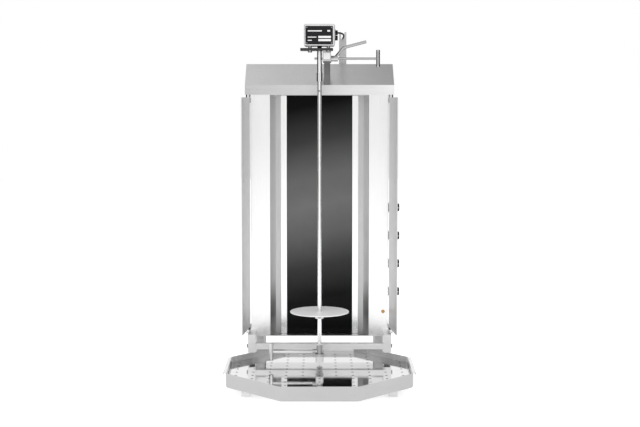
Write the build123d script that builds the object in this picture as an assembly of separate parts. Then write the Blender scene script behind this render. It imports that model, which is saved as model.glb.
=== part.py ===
"""Vertical broiler: a rotisserie oven with an upright spit in front of four stacked radiant heaters.

Millimetres. X to the right, Y to the back, Z up. Z = 0 is the table, and X = 0 holds the spit.
Every function below makes one separate piece, or one set of equal pieces, and returns its solids.
"""

import math
import os

from build123d import *

# Overall positions
SPIT_Y = -21.0
BODY_FRONT_Y = 129.0
COVER_Y = 326.5
BODY_BOTTOM_Z = 121.0
BODY_TOP_Z = 840.0
BODY_HALF = 204.0
SHEET = 1.5

# Heater recess
RECESS_HALF_FRONT = 146.5
RECESS_HALF_BACK = 115.0
RECESS_FOLD_HALF = 130.5
RECESS_FOLD_Y = 152.0
GLASS_Y = 164.0
GLASS_THICK = 4.0
GLASS_HALF = 112.0
STRIP_WIDTH = 17.0
STRIP_THICK = 3.0
ZONES = 4
ZONE_PITCH = 176.0
ZONE_LOW_Z = 130.0
PAN_HALF = 98.0
PAN_HEIGHT = 172.0
PAN_DEPTH = 19.5

# Hood
HOOD_HALF = 220.0
HOOD_FRONT_Y = 119.0
HOOD_BACK_Y = 328.0
HOOD_FOLD_Z = 868.5
ROOF_FRONT_Y = 203.0
ROOF_Z = 932.0

# Side wings and their hinges
WING_X = 211.0
WING_Y = 126.0
WING_FLARE = 6.0
WING_REACH = 145.0
WING_LOW_Z = 151.0
WING_TOP_Z = 832.0
BARREL_RADIUS = 6.5
PIN_RADIUS = 3.0
RUNNING_FIT = 0.05
BARREL_SPANS = [(144.5, 157.5), (816.0, 830.0)]

# Controls on the right-hand wall
KNOB_Y = 205.0
KNOB_Z = [499.0, 413.8, 328.6, 243.4]
KNOB_RADIUS = 12.0
KNOB_END_X = 241.5
LAMP_X = 189.0
LAMP_Z = 195.0

# Upper arm and motor carriage
ARM = 18.0
ARM_X = 20.5
ARM_LOW_Z = 939.0
ARM_FRONT_Y = -43.0
ARM_BACK_Y = 152.0
POST = 18.0
POST_Y = 130.0
PLATE_LOW_Z = 964.0
PLATE_THICK = 6.0
MOTOR_LOW_Z = 976.0
MOTOR_TOP_Z = 1036.5
MOTOR_HALF = 43.5
MOTOR_FRONT_Y = -70.0
MOTOR_BACK_Y = 28.0
CLAMP_Y = 0.0
CLAMP_Z = 942.0
BOLT_XY = [(-27.0, -48.0), (25.0, -48.0), (-27.0, 17.0), (25.0, 17.0)]

# Spit and drive
SPIT_RADIUS = 6.0
SPIT_LOW_Z = 103.8
SPIT_TOP_Z = 938.0
TUBE_RADIUS = 7.0
TUBE_LOW_Z = 879.0
SPINDLE_RADIUS = 4.5
SLEEVE_LOW_Z = 877.0
SLEEVE_TOP_Z = 901.0
CROSS_PIN_Z = 850.0
DISC_Z = 219.5
DISC_RADIUS = 84.0

# Lower arm and bearing carriage
LOW_ARM = 18.0
LOW_ARM_Z = 79.6
LOW_ARM_FRONT_Y = -52.0
CROSSBAR_Y = (85.0, 103.0)
CROSSBAR_Z = (90.0, 107.0)
BRACKET_X = (189.0, 211.0)
BRACKET_Z = (81.0, 134.5)
BRACKET_BOLT_Y = 94.0
BRACKET_BOLT_Z = 98.5
LOW_CARRIAGE_Z = 78.2
LOW_BLOCK_TOP_Z = 99.8
LOW_CLAMP_Z = 104.0
LOW_CLAMP_RADIUS = 3.8

# Base frame and tray
RAIL = 25.0
RAIL_X = 204.5
RAIL_FRONT_Y = -130.0
RAIL_BACK_Y = 305.0
FOOT_HEIGHT = 2.5
INLET_X = -179.5
INLET_Y = 242.0
TRAY_LOW_Z = 36.5
TRAY_RIM_Z = 77.5
TRAY_SHEET = 1.2
TRAY_LIP = 8.0
TRAY_CORNERS = [
    (105, -330), (257, -176), (257, 39), (107, 205),
    (-107, 205), (-257, 39), (-257, -176), (-105, -330),
]
HOLE_PITCH_X = 46.5
HOLE_PITCH_Y = 40.0
HOLE_RADIUS = 3.5
STRAINER_Z = 58.0

# Cable post and motor lead
CABLE_POST_X = 70.5
CABLE_POST_HALF = 11.0
CABLE_POST_Y = (240.0, 270.0)
CABLE_POST_TOP_Z = 1030.0
CABLE_RADIUS = 2.5
GLAND_Y = 12.0
GLAND_Z = (1016.0, 1001.0)
ROOF_HOLE_Y = 264.5
CABLE_POINTS = [
    (44.5, 12, 1016), (55, 12, 1015.6), (64.5, 18.5, 1014), (69, 33, 1011.5), (70, 60, 1009),
    (70.2, 110, 1006), (70.4, 165, 1007), (70.5, 210, 1010), (70.5, 240, 1012.5),
    (70.5, 262, 1001), (70.5, 265.5, 968), (70.5, 264.5, 936),
]


# Shapes used over and over

def block(x0, x1, y0, y1, z0, z1):
    """Box between two opposite corners."""
    return Pos((x0 + x1) / 2, (y0 + y1) / 2, (z0 + z1) / 2) * Box(x1 - x0, y1 - y0, z1 - z0)


def rod_z(radius, z0, z1, x=0.0, y=0.0):
    return Pos(x, y, (z0 + z1) / 2) * Cylinder(radius, z1 - z0)


def rod_x(radius, x0, x1, y, z):
    return Pos((x0 + x1) / 2, y, z) * Rot(0, 90, 0) * Cylinder(radius, x1 - x0)


def rod_y(radius, y0, y1, x, z):
    return Pos(x, (y0 + y1) / 2, z) * Rot(90, 0, 0) * Cylinder(radius, y1 - y0)


def on_left(shape):
    """The same piece on the other side of the spit."""
    return mirror(shape, about=Plane.YZ)


def square_tube(width, length, wall):
    """Square tube with rounded corners, along Z from 0."""
    outside = RectangleRounded(width, width, 2.0)
    inside = RectangleRounded(width - 2 * wall, width - 2 * wall, 0.6)
    return extrude(outside - inside, length)


def tube_along_y(width, wall, x, y0, y1, z_low):
    place = Pos(x, y1, z_low + width / 2) * Rot(90, 0, 0)
    return place * square_tube(width, y1 - y0, wall)


def plug(width, wall, x, y, z_low, facing):
    """Plastic end plug: a flat head on the tube's end and a stem inside it."""
    middle_z = z_low + width / 2
    head = Pos(x, y + facing * 1.5, middle_z) * Box(width, 3, width)
    head = fillet(head.edges().filter_by(Axis.Y), 1.5)
    stem_width = width - 2 * wall - 0.2
    stem = Pos(x, y - facing * 6, middle_z) * Box(stem_width, 12, stem_width)
    stem = chamfer(stem.edges().filter_by(Axis.Y), 1)
    return head + stem


def rounded_box(shape, radius):
    return fillet(shape.edges(), radius)


# Base frame

def base_frame():
    """Two rails, two cross tubes, four legs and two tray runners, butted and welded together."""
    rail_top = FOOT_HEIGHT + RAIL
    inner = RAIL_X - RAIL / 2
    rail = tube_along_y(RAIL, 2, RAIL_X, RAIL_FRONT_Y, RAIL_BACK_Y, FOOT_HEIGHT)
    runner = block(RAIL_X - 9, RAIL_X + 3, -100, 130, rail_top, TRAY_LOW_Z - 0.3)
    tubes = [rail, on_left(rail), runner, on_left(runner)]
    for leg_y in (192.5, 292.5):
        leg = Pos(inner - RAIL / 2, leg_y, rail_top) * square_tube(RAIL, BODY_BOTTOM_Z - rail_top, 2)
        cross = Rot(0, 90, 0) * square_tube(RAIL, 2 * inner, 2)
        tubes += [leg, on_left(leg), Pos(-inner, leg_y, FOOT_HEIGHT + RAIL / 2) * cross]
    return tubes


def frame_feet():
    feet = []
    for y in (-105, 285):
        foot = rod_z(9, 0, FOOT_HEIGHT, RAIL_X, y)
        foot = fillet(foot.edges().group_by(Axis.Z)[0], 0.8)
        feet += [foot, on_left(foot)]
    return feet


def end_caps():
    """Square plugs in the open ends of the rails and of both arms."""
    rail_front = plug(RAIL, 2, RAIL_X, RAIL_FRONT_Y, FOOT_HEIGHT, -1)
    rail_back = plug(RAIL, 2, RAIL_X, RAIL_BACK_Y, FOOT_HEIGHT, 1)
    arm_front = plug(ARM, 2, ARM_X, ARM_FRONT_Y, ARM_LOW_Z, -1)
    arm_back = plug(ARM, 2, ARM_X, ARM_BACK_Y, ARM_LOW_Z, 1)
    low_front = plug(LOW_ARM, 2, 0, LOW_ARM_FRONT_Y, LOW_ARM_Z, -1)
    pairs = [rail_front, on_left(rail_front), rail_back, on_left(rail_back)]
    return pairs + [arm_front, arm_back, low_front]


# Cabinet

def side_panel():
    """Folded sheet: side wall, front panel and a narrow flange for the rear cover."""
    inside = BODY_HALF - SHEET
    wall = block(inside, BODY_HALF, BODY_FRONT_Y, COVER_Y, BODY_BOTTOM_Z, BODY_TOP_Z)
    front = block(
        RECESS_HALF_FRONT, BODY_HALF, BODY_FRONT_Y, BODY_FRONT_Y + SHEET, BODY_BOTTOM_Z, BODY_TOP_Z
    )
    flange = block(188, BODY_HALF, COVER_Y - SHEET, COVER_Y, BODY_BOTTOM_Z + 2.5, BODY_TOP_Z - 2.5)
    folded = wall + front + flange
    outer_edge = folded.edges().filter_by(Axis.Z).group_by(Axis.X)[-1].sort_by(Axis.Y)[0]
    folded = fillet(outer_edge, 1.2)
    return folded - cover_screw_holes()


def side_panels():
    """Left and right panels; the right one has the holes for the controls and the lamp."""
    plain = side_panel()
    right = plain
    for z in KNOB_Z:
        right = right - rod_x(3.6, BODY_HALF - 5, BODY_HALF + 5, KNOB_Y, z)
    right = right - rod_y(4.0, BODY_FRONT_Y - 5, BODY_FRONT_Y + 5, LAMP_X, LAMP_Z)
    return [right, on_left(plain)]


def cabinet_decks():
    """Floor and top plate of the cabinet; the floor also closes the heater recess below."""
    inside = BODY_HALF - SHEET
    decks = []
    for low, high in ((BODY_BOTTOM_Z, BODY_BOTTOM_Z + 2), (BODY_TOP_Z - 2, BODY_TOP_Z)):
        deck = block(-inside, inside, BODY_FRONT_Y + SHEET, COVER_Y, low, high)
        lip = block(
            -RECESS_HALF_FRONT, RECESS_HALF_FRONT, BODY_FRONT_Y, BODY_FRONT_Y + SHEET, low, high
        )
        decks.append(deck + lip)
    gland_hole = rod_z(8, BODY_BOTTOM_Z - 5, BODY_BOTTOM_Z + 5, INLET_X, INLET_Y)
    return [decks[0] - gland_hole, decks[1]]


def reflectors():
    """Folded polished sheets, in two facets, that lead from the front panels in to the glass."""
    front = [(RECESS_HALF_FRONT, BODY_FRONT_Y), (RECESS_FOLD_HALF, RECESS_FOLD_Y)]
    front.append((RECESS_HALF_BACK, GLASS_Y - 1))
    back = [(x, y + 2) for x, y in reversed(front)]
    outline = Polygon(*front, *back, align=None)
    outline = outline - Pos(RECESS_HALF_FRONT + 1, BODY_FRONT_Y + 1) * Rectangle(3, 6)
    height = BODY_TOP_Z - BODY_BOTTOM_Z - 4
    sheet = Pos(0, 0, BODY_BOTTOM_Z + 2) * extrude(outline, height, dir=(0, 0, 1))
    return [sheet, on_left(sheet)]


def glass_strips():
    """Flat strips that hold the glass along both sides."""
    height = BODY_TOP_Z - BODY_BOTTOM_Z - 5
    strip = extrude(RectangleRounded(STRIP_WIDTH, height, 2.5), STRIP_THICK)
    middle_x = RECESS_HALF_BACK - STRIP_WIDTH / 2
    strip = Pos(middle_x, GLASS_Y, (BODY_TOP_Z + BODY_BOTTOM_Z) / 2) * Rot(90, 0, 0) * strip
    return [strip, on_left(strip)]


def heater_glass():
    low, high = BODY_BOTTOM_Z + 3, BODY_TOP_Z - 3
    return [block(-GLASS_HALF, GLASS_HALF, GLASS_Y, GLASS_Y + GLASS_THICK, low, high)]


def heater_pans():
    """Shallow pans, open towards the glass, one for each heating zone."""
    front = GLASS_Y + GLASS_THICK + 0.5
    pans = []
    for zone in range(ZONES):
        low = ZONE_LOW_Z + zone * ZONE_PITCH
        outside = block(-PAN_HALF, PAN_HALF, front, front + PAN_DEPTH, low, low + PAN_HEIGHT)
        inside = block(
            -PAN_HALF + 2, PAN_HALF - 2, front - 1, front + PAN_DEPTH - 2, low + 2, low + PAN_HEIGHT - 2
        )
        pans.append(outside - inside)
    return pans


def heater_coils():
    """One heating element per zone, bent up and down inside its pan."""
    middle_y = GLASS_Y + GLASS_THICK + 9
    passes = 7
    spacing = 28.0
    reach = PAN_HEIGHT / 2 - 14
    corners = []
    for n in range(passes):
        x = (n - (passes - 1) / 2) * spacing
        ends = (-reach, reach) if n % 2 == 0 else (reach, -reach)
        corners += [(x, middle_y, ends[0]), (x, middle_y, ends[1])]
    path = FilletPolyline(*corners, radius=10)
    section = Plane(origin=corners[0], z_dir=(0, 0, 1)) * Circle(3)
    element = sweep(section, path=path)
    middles = [ZONE_LOW_Z + zone * ZONE_PITCH + PAN_HEIGHT / 2 for zone in range(ZONES)]
    return [Pos(0, 0, z) * element for z in middles]


def insulation_board():
    front = GLASS_Y + GLASS_THICK + 0.5 + PAN_DEPTH
    high = ZONE_LOW_Z + (ZONES - 1) * ZONE_PITCH + PAN_HEIGHT
    return [block(-PAN_HALF, PAN_HALF, front, front + 22, ZONE_LOW_Z, high)]


COVER_SCREWS = [(x, z) for x in (-196, 196) for z in (150, 372, 594, 816)]


def cover_screw_holes():
    holes = [rod_y(2.1, COVER_Y - 10, COVER_Y + 10, x, z) for x, z in COVER_SCREWS]
    return Compound(children=holes)


def rear_cover():
    """Flat cover with two columns of vent slots."""
    cover = block(
        -BODY_HALF, BODY_HALF, COVER_Y, COVER_Y + SHEET, BODY_BOTTOM_Z, BODY_TOP_Z
    )
    slot = extrude(SlotOverall(110, 5), 10)
    slots = []
    for row in range(9):
        for x in (-90, 90):
            slots.append(Pos(x, COVER_Y + 5, 620 + row * 18) * Rot(90, 0, 0) * slot)
            slots.append(Pos(x, COVER_Y + 5, 200 + row * 18) * Rot(90, 0, 0) * slot)
    return [cover - slots - cover_screw_holes()]


def cover_screws():
    """Pan-head screws that hold the rear cover."""
    screws = []
    for x, z in COVER_SCREWS:
        head = rod_y(4, COVER_Y + SHEET, COVER_Y + 3.5, x, z)
        head = head - block(x - 3, x + 3, COVER_Y + 2.7, COVER_Y + 4, z - 0.5, z + 0.5)
        screws.append(head + rod_y(2, COVER_Y - 6, COVER_Y + SHEET, x, z))
    return screws


def hood():
    """Folded hood: upright fascia, sloped front, flat roof and a flange all round below."""
    corners = [
        (HOOD_FRONT_Y, BODY_TOP_Z), (HOOD_FRONT_Y, HOOD_FOLD_Z), (ROOF_FRONT_Y, ROOF_Z),
        (HOOD_BACK_Y, ROOF_Z), (HOOD_BACK_Y, BODY_TOP_Z),
    ]
    outline = Polygon(*corners, align=None)
    outside = extrude(Plane.YZ * outline, HOOD_HALF, both=True)
    inside = extrude(Plane.YZ * offset(outline, -SHEET, kind=Kind.INTERSECTION), HOOD_HALF - SHEET, both=True)
    shell = outside - inside
    shell = shell - block(-190, 190, 150, 316, BODY_TOP_Z - 1, BODY_TOP_Z + 5)
    clearance = POST / 2 + 0.2
    shell = shell - block(
        ARM_X + 2 - clearance, ARM_X + 2 + clearance, POST_Y - clearance, POST_Y + clearance, 845, 940
    )
    return [shell - rod_z(4, ROOF_Z - 5, ROOF_Z + 5, CABLE_POST_X, ROOF_HOLE_Y)]


def leg_brackets():
    """Boxes on the body's front, open below, that carry the crossbar and the lower wing pins."""
    x0, x1 = BRACKET_X
    low, high = BRACKET_Z
    outside = block(x0, x1, 80, BODY_FRONT_Y, low, high)
    outside = outside - block(x0 + 3, x1 - 3, 83, BODY_FRONT_Y - 3, low - 5, high - 3)
    lug = block(x1, WING_X + BARREL_RADIUS, 118, BODY_FRONT_Y, high - 4, high)
    bracket = outside + lug - rod_x(3.1, x0 - 5, x1 + 5, BRACKET_BOLT_Y, BRACKET_BOLT_Z)
    return [bracket, on_left(bracket)]


def bracket_bolts():
    """Hexagon bolts through the brackets into the ends of the crossbar."""
    head = extrude(RegularPolygon(5.8, 6), 4)
    shank = Pos(0, 0, -36) * extrude(Circle(3), 36)
    bolt = Pos(BRACKET_X[1], BRACKET_BOLT_Y, BRACKET_BOLT_Z) * Rot(0, 90, 0) * (head + shank)
    return [bolt, on_left(bolt)]


def lower_arm():
    """Crossbar, and the lower arm welded to the middle of its front face."""
    bar = block(-BRACKET_X[0], BRACKET_X[0], *CROSSBAR_Y, *CROSSBAR_Z)
    bar = bar - block(
        -170, 170, CROSSBAR_Y[0] + 2, CROSSBAR_Y[1] - 2, CROSSBAR_Z[0] + 2, CROSSBAR_Z[1] - 2
    )
    for side in (-1, 1):
        bar = bar - rod_x(3.1, side * 180 - 12, side * 180 + 12, BRACKET_BOLT_Y, BRACKET_BOLT_Z)
    return [bar, tube_along_y(LOW_ARM, 2, 0, LOW_ARM_FRONT_Y, CROSSBAR_Y[0], LOW_ARM_Z)]


def wing_pins():
    """Hinge pins with a shoulder: two stand on the brackets and two hang from the hood."""
    stand = BRACKET_Z[1]
    low = rod_z(PIN_RADIUS, stand, BARREL_SPANS[0][1] + 4, WING_X, WING_Y)
    low = low + rod_z(BARREL_RADIUS, stand, BARREL_SPANS[0][0] - 0.3, WING_X, WING_Y)
    high = rod_z(PIN_RADIUS, 812, BODY_TOP_Z, WING_X, WING_Y)
    high = high + rod_z(BARREL_RADIUS, 830.3, BODY_TOP_Z, WING_X, WING_Y)
    return [low, high, on_left(low), on_left(high)]


# Wings, made about the hinge axis and then set in place

def in_wing_place(shape):
    return Pos(WING_X, WING_Y, 0) * Rot(0, 0, WING_FLARE) * shape


def wing_sheet():
    """Plain sheet with a hem along its front edge."""
    inner = -BARREL_RADIUS
    sheet = block(inner, inner + SHEET, -WING_REACH, -8, WING_LOW_Z, WING_TOP_Z)
    hem = block(inner + SHEET, inner + 2 * SHEET, -WING_REACH, -WING_REACH + 12, WING_LOW_Z, WING_TOP_Z)
    return in_wing_place(sheet + hem)


def wing_barrels():
    """Hinge barrels with a flat leaf that is riveted to the outside of the sheet."""
    barrels = []
    for low, high in BARREL_SPANS:
        barrel = rod_z(BARREL_RADIUS, low, high) + block(-BARREL_RADIUS, -1, -22, 0, low, high)
        barrel = barrel - rod_z(PIN_RADIUS + RUNNING_FIT, low - 1, high + 1)
        barrel = barrel - block(
            -BARREL_RADIUS - 1, -BARREL_RADIUS + SHEET, -23, -7.9, WING_LOW_Z, WING_TOP_Z
        )
        barrels.append(in_wing_place(barrel))
    return barrels


def right_wing():
    return [wing_sheet()]


def left_wing():
    return [on_left(wing_sheet())]


def right_barrels():
    return wing_barrels()


def left_barrels():
    return [on_left(barrel) for barrel in wing_barrels()]


# Controls

def knob(z):
    """Knob with a skirt, a groove for its pointer strip, and the shaft it is fixed to."""
    skirt = rod_x(17, BODY_HALF + 0.5, BODY_HALF + 4.5, KNOB_Y, z)
    grip = rod_x(KNOB_RADIUS, BODY_HALF + 4.5, KNOB_END_X, KNOB_Y, z)
    grip = fillet(grip.edges().group_by(Axis.X)[-1], 2)
    shaft = rod_x(3, 187, BODY_HALF + 0.5, KNOB_Y, z)
    return [skirt + grip + shaft - pointer_room(z)]


def pointer_room(z):
    front = KNOB_Y - KNOB_RADIUS
    return block(212, KNOB_END_X - 2, front - 0.5, front + 1.5, z - 1.6, z + 1.6)


def knob_pointer(z):
    """Light strip let into the side of the knob; it faces the front when the zone is off."""
    return [pointer_room(z)]


def heat_regulators():
    """One regulator behind each knob, with a bearing hole for the knob's shaft."""
    regulators = []
    for z in KNOB_Z:
        case = block(166, BODY_HALF - SHEET, KNOB_Y - 18, KNOB_Y + 18, z - 20, z + 20)
        regulators.append(case - rod_x(3 + RUNNING_FIT, 186.5, BODY_HALF, KNOB_Y, z))
    return regulators


def indicator_lamp():
    lens = rod_y(5.3, BODY_FRONT_Y - 3, BODY_FRONT_Y, LAMP_X, LAMP_Z)
    lens = fillet(lens.edges().group_by(Axis.Y)[0], 1.8)
    return [lens + rod_y(3.9, BODY_FRONT_Y, BODY_FRONT_Y + 22, LAMP_X, LAMP_Z)]


def terminal_block():
    """Terminal block on the cabinet floor, with six clamping screws' wells."""
    body = block(-170, -100, 255, 273, BODY_BOTTOM_Z + 2, BODY_BOTTOM_Z + 24)
    for n in range(6):
        body = body - rod_z(3, BODY_BOTTOM_Z + 14, BODY_BOTTOM_Z + 30, -164.5 + n * 11.8, 264)
    return [body]


def inlet_gland():
    """Gland for the supply lead, through the cabinet floor at the back."""
    nut = Pos(INLET_X, INLET_Y, BODY_BOTTOM_Z - 14) * extrude(RegularPolygon(13, 6), 14)
    stem = rod_z(7.9, BODY_BOTTOM_Z, BODY_BOTTOM_Z + 12, INLET_X, INLET_Y)
    return [nut + stem - rod_z(4.5, BODY_BOTTOM_Z - 20, BODY_BOTTOM_Z + 20, INLET_X, INLET_Y)]


# Upper arm

def arm_post():
    """Post that stands inside the hood and comes out through its sloped front."""
    x = ARM_X + 2
    tube = Pos(x, POST_Y, BODY_TOP_Z + SHEET) * square_tube(POST, 934 - BODY_TOP_Z - SHEET, 2)
    plate = block(x - 12, x + 12, POST_Y - 14, POST_Y + 14, 934, ARM_LOW_Z)
    return [tube + plate]


def upper_arm():
    return [tube_along_y(ARM, 2, ARM_X, ARM_FRONT_Y, ARM_BACK_Y, ARM_LOW_Z)]


# Motor carriage

def motor_carriage():
    """Sleeve that slides on the upper arm, with a hub for the clamp and a stop stud."""
    half_bore = ARM / 2 + RUNNING_FIT
    low, high = ARM_LOW_Z - 5, PLATE_LOW_Z
    middle_z = ARM_LOW_Z + ARM / 2
    body = block(ARM_X - 12.1, ARM_X + 12.1, -38, 10, low, high)
    body = body - block(
        ARM_X - half_bore, ARM_X + half_bore, -50, 20, middle_z - half_bore, middle_z + half_bore
    )
    hub = rod_x(8.0, ARM_X + 12.1, 52.5, CLAMP_Y, CLAMP_Z)
    stud = rod_x(3, -14.5, ARM_X - 12.1, CLAMP_Y, CLAMP_Z)
    return [body + hub + stud - rod_x(3.45 + RUNNING_FIT, ARM_X + ARM / 2, 60, CLAMP_Y, CLAMP_Z)]


def motor_plate():
    """Plate under the gear motor, with rounded front corners."""
    outline = Pos(-8, -17) * RectangleRounded(92, 82, 9)
    plate = Pos(0, 0, PLATE_LOW_Z) * extrude(outline, PLATE_THICK)
    plate = plate - rod_z(4.9, 950, 980, 0, SPIT_Y)
    for x, y in BOLT_XY:
        plate = plate - rod_z(3.2, 950, 980, x, y)
    return [plate]


def plate_bolts():
    """Bolts from below through the plate, each with a spacer under the motor."""
    bolts = []
    for x, y in BOLT_XY:
        head = Pos(x, y, PLATE_LOW_Z - 4) * extrude(RegularPolygon(5.8, 6), 4)
        shank = rod_z(3, PLATE_LOW_Z, MOTOR_LOW_Z + 8, x, y)
        spacer = rod_z(5, PLATE_LOW_Z + PLATE_THICK, MOTOR_LOW_Z, x, y)
        bolts.append(head + shank + spacer)
    return bolts


def motor_housing():
    """Rounded case of the gear motor, hollow, with threaded bosses for the bolts."""
    case = rounded_box(
        block(-MOTOR_HALF, MOTOR_HALF, MOTOR_FRONT_Y, MOTOR_BACK_Y, MOTOR_LOW_Z, MOTOR_TOP_Z), 5
    )
    room = block(
        -MOTOR_HALF + 3, MOTOR_HALF - 3, MOTOR_FRONT_Y + 3, MOTOR_BACK_Y - 3,
        MOTOR_LOW_Z + 3, MOTOR_TOP_Z - 3,
    )
    case = case - room
    for x, y in BOLT_XY:
        case = case + rod_z(6, MOTOR_LOW_Z + 3, MOTOR_LOW_Z + 10, x, y)
        case = case - rod_z(3.1, MOTOR_LOW_Z - 1, MOTOR_LOW_Z + 8, x, y)
    return [case - rod_z(4.9, 970, 982, 0, SPIT_Y)]


def motor_label():
    """Thin blank rating plate on the front of the motor."""
    plate = extrude(RectangleRounded(76.5, 51.5, 2), 0.6)
    return [Pos(-1, MOTOR_FRONT_Y, 1005) * Rot(90, 0, 0) * plate]


def motor_core():
    """Stator and winding of the motor, with its shaft end over the output gear."""
    stator = rod_z(26, 1003, 1030, 0, SPIT_Y)
    winding = rod_z(20, 997, 1032, 0, SPIT_Y)
    return [stator + winding - rod_z(6, 990, 1020, 0, SPIT_Y)]


def motor_bush():
    """Black bush between the plate and the motor, around the spindle."""
    ring = rod_z(6.4, PLATE_LOW_Z + PLATE_THICK, MOTOR_LOW_Z, 0, SPIT_Y)
    return [ring - rod_z(SPINDLE_RADIUS + RUNNING_FIT, 960, 980, 0, SPIT_Y)]


def motor_gland():
    """Two cable glands on one base; the upper one carries the lead, the lower is closed."""
    body = block(MOTOR_HALF, MOTOR_HALF + 2, GLAND_Y - 10, GLAND_Y + 10, 993, 1026)
    for z in GLAND_Z:
        body = body + rod_x(6.6, MOTOR_HALF + 2, MOTOR_HALF + 8.5, GLAND_Y, z)
    return [body - rod_x(CABLE_RADIUS + 1, MOTOR_HALF + 0.9, 60, GLAND_Y, GLAND_Z[0])]


def carriage_handle():
    """Bent tube with an open end, welded to the hub of the carriage."""
    path = FilletPolyline((44, 0, 944), (68, 0, 973), (133, 0, 990), radius=18)
    start = Plane(origin=(44, 0, 944), z_dir=(24, 0, 29))
    tube = sweep(start * (Circle(4.25) - Circle(3.0)), path=path)
    return [tube - rod_x(8.0, 30, 53, CLAMP_Y, CLAMP_Z)]


def t_handle(x_start, x_end, rod_radius, grip_x, grip_radius, y, z):
    """Clamp screw with a bar across its outer end."""
    screw = rod_x(rod_radius, min(x_start, x_end), max(x_start, x_end), y, z)
    grip = rod_z(grip_radius, z - 25, z + 25, grip_x, y)
    grip = fillet(grip.edges().filter_by(GeomType.CIRCLE), 1.5)
    return screw + grip


def upper_clamp():
    return [t_handle(ARM_X + ARM / 2 + 0.4, 166.5, 3.45, 166.5, 5.5, CLAMP_Y, CLAMP_Z)]


def lower_clamp():
    return [t_handle(-7.3, -138, LOW_CLAMP_RADIUS, -138, 6.0, SPIT_Y, LOW_CLAMP_Z)]


# Spit

def drive_tube():
    """Hollow drive tube with the motor's spindle and output gear above it."""
    tube = rod_z(TUBE_RADIUS, TUBE_LOW_Z, PLATE_LOW_Z - 0.5, 0, SPIT_Y)
    tube = chamfer(tube.edges().group_by(Axis.Z)[-1], 1)
    tube = tube - rod_z(SPIT_RADIUS + RUNNING_FIT, TUBE_LOW_Z - 5, 940, 0, SPIT_Y)
    spindle = rod_z(SPINDLE_RADIUS, PLATE_LOW_Z - 0.5, 992, 0, SPIT_Y)
    return [tube + spindle + output_gear()]


def output_gear():
    """Spur gear on the spindle, inside the motor case."""
    teeth = 30
    gear = rod_z(17, 984, 991, 0, SPIT_Y)
    tooth = Pos(17.4, 0, 987.5) * Box(3, 1.6, 7)
    placed = [Pos(0, SPIT_Y, 0) * Rot(0, 0, n * 360 / teeth) * tooth for n in range(teeth)]
    return gear + placed


def coupling_sleeve():
    """Sleeve over the lower end of the drive tube, with a grooved grip."""
    sleeve = rod_z(8.75, SLEEVE_LOW_Z, SLEEVE_TOP_Z, 0, SPIT_Y)
    for z in (882, 886, 892, 896):
        groove = rod_z(9.5, z, z + 1.4, 0, SPIT_Y) - rod_z(8.2, z, z + 1.4, 0, SPIT_Y)
        sleeve = sleeve - groove
    return [sleeve - rod_z(TUBE_RADIUS + RUNNING_FIT, 870, 910, 0, SPIT_Y)]


def spit():
    """Round bar with a thrust collar above the bearing and a hole for the cross pin."""
    bar = rod_z(SPIT_RADIUS, SPIT_LOW_Z, SPIT_TOP_Z, 0, SPIT_Y)
    bar = chamfer(bar.edges().filter_by(GeomType.CIRCLE), 1)
    collar = rod_z(8.5, 124.5, 130, 0, SPIT_Y)
    return [bar + collar - rod_y(2, SPIT_Y - 10, SPIT_Y + 10, 0, CROSS_PIN_Z)]


def spit_pin():
    pin = rod_y(2, SPIT_Y - 8, SPIT_Y + 8, 0, CROSS_PIN_Z)
    return [fillet(pin.edges().filter_by(GeomType.CIRCLE), 0.6)]


def meat_disc():
    """Round plate that carries the meat, with a hub and a set-screw hole below it."""
    disc = rod_z(DISC_RADIUS, DISC_Z, DISC_Z + 2.5, 0, SPIT_Y)
    disc = fillet(disc.edges().filter_by(GeomType.CIRCLE), 0.8)
    hub = rod_z(12, DISC_Z - 18, DISC_Z, 0, SPIT_Y)
    body = disc + hub - rod_z(SPIT_RADIUS + RUNNING_FIT, 190, 230, 0, SPIT_Y)
    return [body - rod_y(2.55, SPIT_Y - 20, SPIT_Y - 4, 0, DISC_Z - 9)]


def disc_screw():
    """Thumb screw in the hub of the disc."""
    shank = rod_y(2.5, SPIT_Y - 16, SPIT_Y - 6.3, 0, DISC_Z - 9)
    head = rod_y(6, SPIT_Y - 22, SPIT_Y - 16, 0, DISC_Z - 9)
    return [shank + fillet(head.edges().filter_by(GeomType.CIRCLE), 1)]


# Bearing carriage

def bearing_carriage():
    """Sleeve that slides on the lower arm, with the bearing's boss on top."""
    half_bore = LOW_ARM / 2 + RUNNING_FIT
    middle_z = LOW_ARM_Z + LOW_ARM / 2
    body = block(-11.2, 11.2, SPIT_Y - 12, SPIT_Y + 12, LOW_CARRIAGE_Z, LOW_BLOCK_TOP_Z)
    body = body - block(
        -half_bore, half_bore, SPIT_Y - 20, SPIT_Y + 20, middle_z - half_bore, middle_z + half_bore
    )
    body = body + rod_z(8.5, LOW_BLOCK_TOP_Z, 118, 0, SPIT_Y)
    body = body + rod_x(6, -20, 0, SPIT_Y, LOW_CLAMP_Z + 2)
    body = body - rod_z(6.8, LOW_BLOCK_TOP_Z, 119, 0, SPIT_Y)
    return [body - rod_x(LOW_CLAMP_RADIUS + RUNNING_FIT, -25, -6, SPIT_Y, LOW_CLAMP_Z)]


def spit_bearing():
    """Flanged bronze bush, closed below, that the spit's end turns in."""
    bush = rod_z(6.8, LOW_BLOCK_TOP_Z, 118, 0, SPIT_Y) + rod_z(8.5, 118, 124, 0, SPIT_Y)
    return [bush - rod_z(SPIT_RADIUS + RUNNING_FIT, 103.4, 130, 0, SPIT_Y)]


# Tray

def tray_outline(grow):
    """Eight-sided outline of the tray with rounded corners, grown or shrunk all round."""
    outline = fillet(Polygon(*TRAY_CORNERS, align=None).vertices(), 14)
    return offset(outline, grow) if grow else outline


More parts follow.
